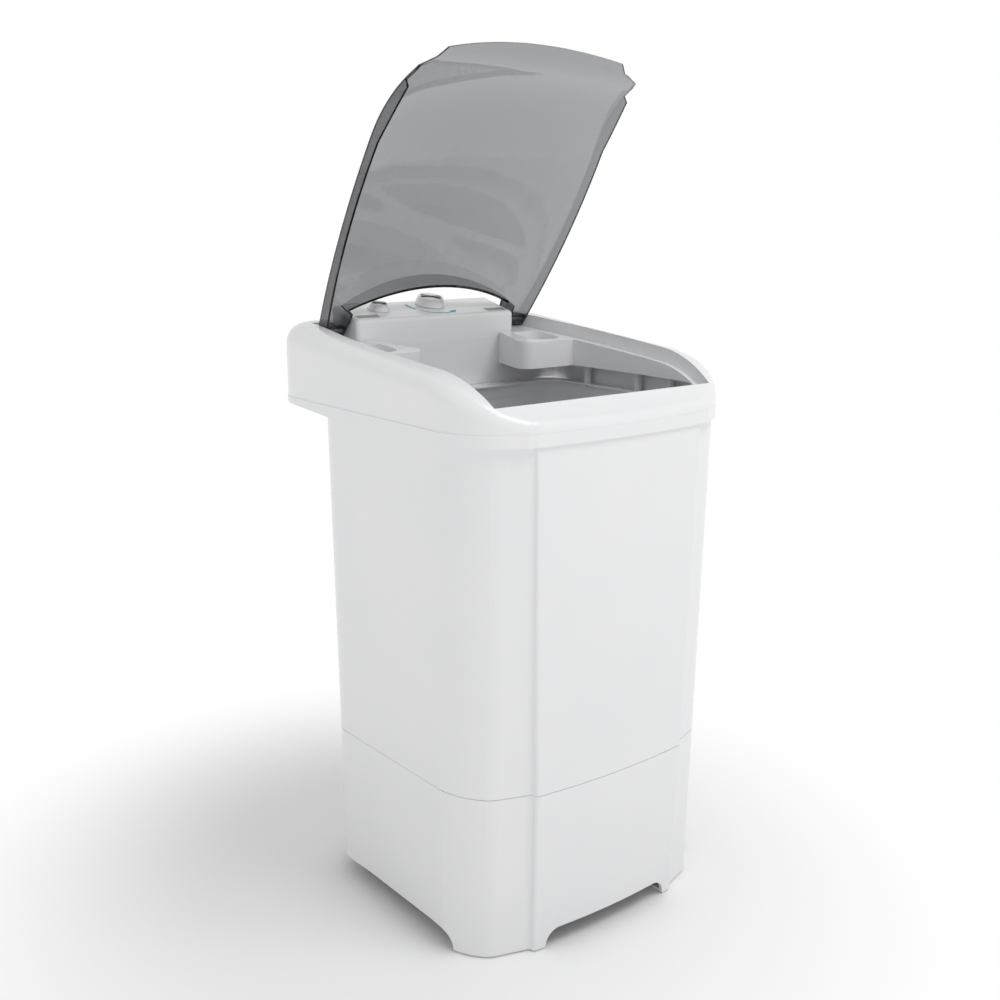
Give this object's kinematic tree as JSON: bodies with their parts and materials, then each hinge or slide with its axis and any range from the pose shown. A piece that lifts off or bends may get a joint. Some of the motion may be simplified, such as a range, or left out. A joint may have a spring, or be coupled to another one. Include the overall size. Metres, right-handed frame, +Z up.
{
  "type": "semi-automatic washing machine",
  "caption": "Upright semi-automatic washing machine with a tapered tub cabinet, sloping top frame, timer and selector knobs, hinged smoked lid and belt-driven pulsator.",
  "frame": {"origin": "on the floor, at the middle of the machine's bounding box with the lid open as in the picture", "axes": "+Z up, the front faces -Y, +X is to the right seen from the front"},
  "size_m": [0.475, 0.5379, 1.2248],
  "materials": {
    "white_shell": "moulded, satin gloss",
    "white_knob": "moulded, gloss",
    "smoked_lid": "clear smoked plastic",
    "grey_plastic": "moulded, matt",
    "soft_rubber": "matt",
    "bright_steel": "turned and plated",
    "cast_housing": "die cast",
    "bronze": "sintered",
    "dark_paint": "dipped black paint",
    "aluminium_can": "drawn can"
  },
  "bodies": {
    "machine": {"base_housing": "white_shell", "tub_cabinet": "white_shell", "top_frame": "white_shell", "mouth_ring": "white_shell", "control_panel": "white_shell", "compartment_cover": "white_shell", "drain_outlet": "grey_plastic", "timer_module": "grey_plastic", "selector_switch": "grey_plastic", "foot_pads": "soft_rubber", "cord_gland": "soft_rubber", "shaft_seal": "soft_rubber", "drive_belt": "soft_rubber", "hinge_pins": "bright_steel", "ring_screws": "bright_steel", "cover_screws": "bright_steel", "panel_screws": "bright_steel", "module_screws": "bright_steel", "base_screws": "bright_steel", "housing_screws": "bright_steel", "bracket_screws": "bright_steel", "motor_bolts": "bright_steel", "motor_stator": "bright_steel", "capacitor_nut": "bright_steel", "bearing_housing": "cast_housing", "motor_end_shield": "cast_housing", "bearing_bushes": "bronze", "motor_housing": "dark_paint", "motor_bracket": "dark_paint", "capacitor": "aluminium_can"},
    "lid": {"lid_shell": "smoked_lid"},
    "timer_control": {"timer_knob": "white_knob"},
    "selector_control": {"selector_knob": "white_knob"},
    "pulsator_drive": {"pulsator": "grey_plastic", "pulsator_screw": "bright_steel", "drive_shaft": "bright_steel", "driven_pulley": "cast_housing", "pulley_nut": "bright_steel"},
    "motor_drive": {"motor_rotor": "bright_steel", "motor_pulley": "cast_housing"}
  },
  "joints": [
    {"name": "lid_hinge", "type": "hinge", "parent": "machine", "child": "lid", "pos_m": [0, 0.1915, 0.832], "axis": [-1, 0, 0], "range_deg": [-62.5, 20]},
    {"name": "timer_turn", "type": "hinge", "parent": "machine", "child": "timer_control", "pos_m": [0.019, 0.214, 0.86203], "axis": [0, -0.2431, 0.97], "range_deg": [-300, 0]},
    {"name": "selector_turn", "type": "hinge", "parent": "machine", "child": "selector_control", "pos_m": [-0.084, 0.203, 0.85928], "axis": [0, -0.2431, 0.97], "range_deg": [-90, 90]},
    {"name": "pulsator_spin", "type": "hinge", "parent": "machine", "child": "pulsator_drive", "pos_m": [0, -0.054, 0.2], "axis": [0, 0, 1], "continuous": true},
    {"name": "motor_spin", "type": "hinge", "parent": "machine", "child": "motor_drive", "pos_m": [0, 0.061, 0.2], "axis": [0, 0, 1], "continuous": true}
  ],
  "couplings": [
    {"joint": "motor_spin", "follows": "pulsator_spin", "ratio": 3.4}
  ]
}
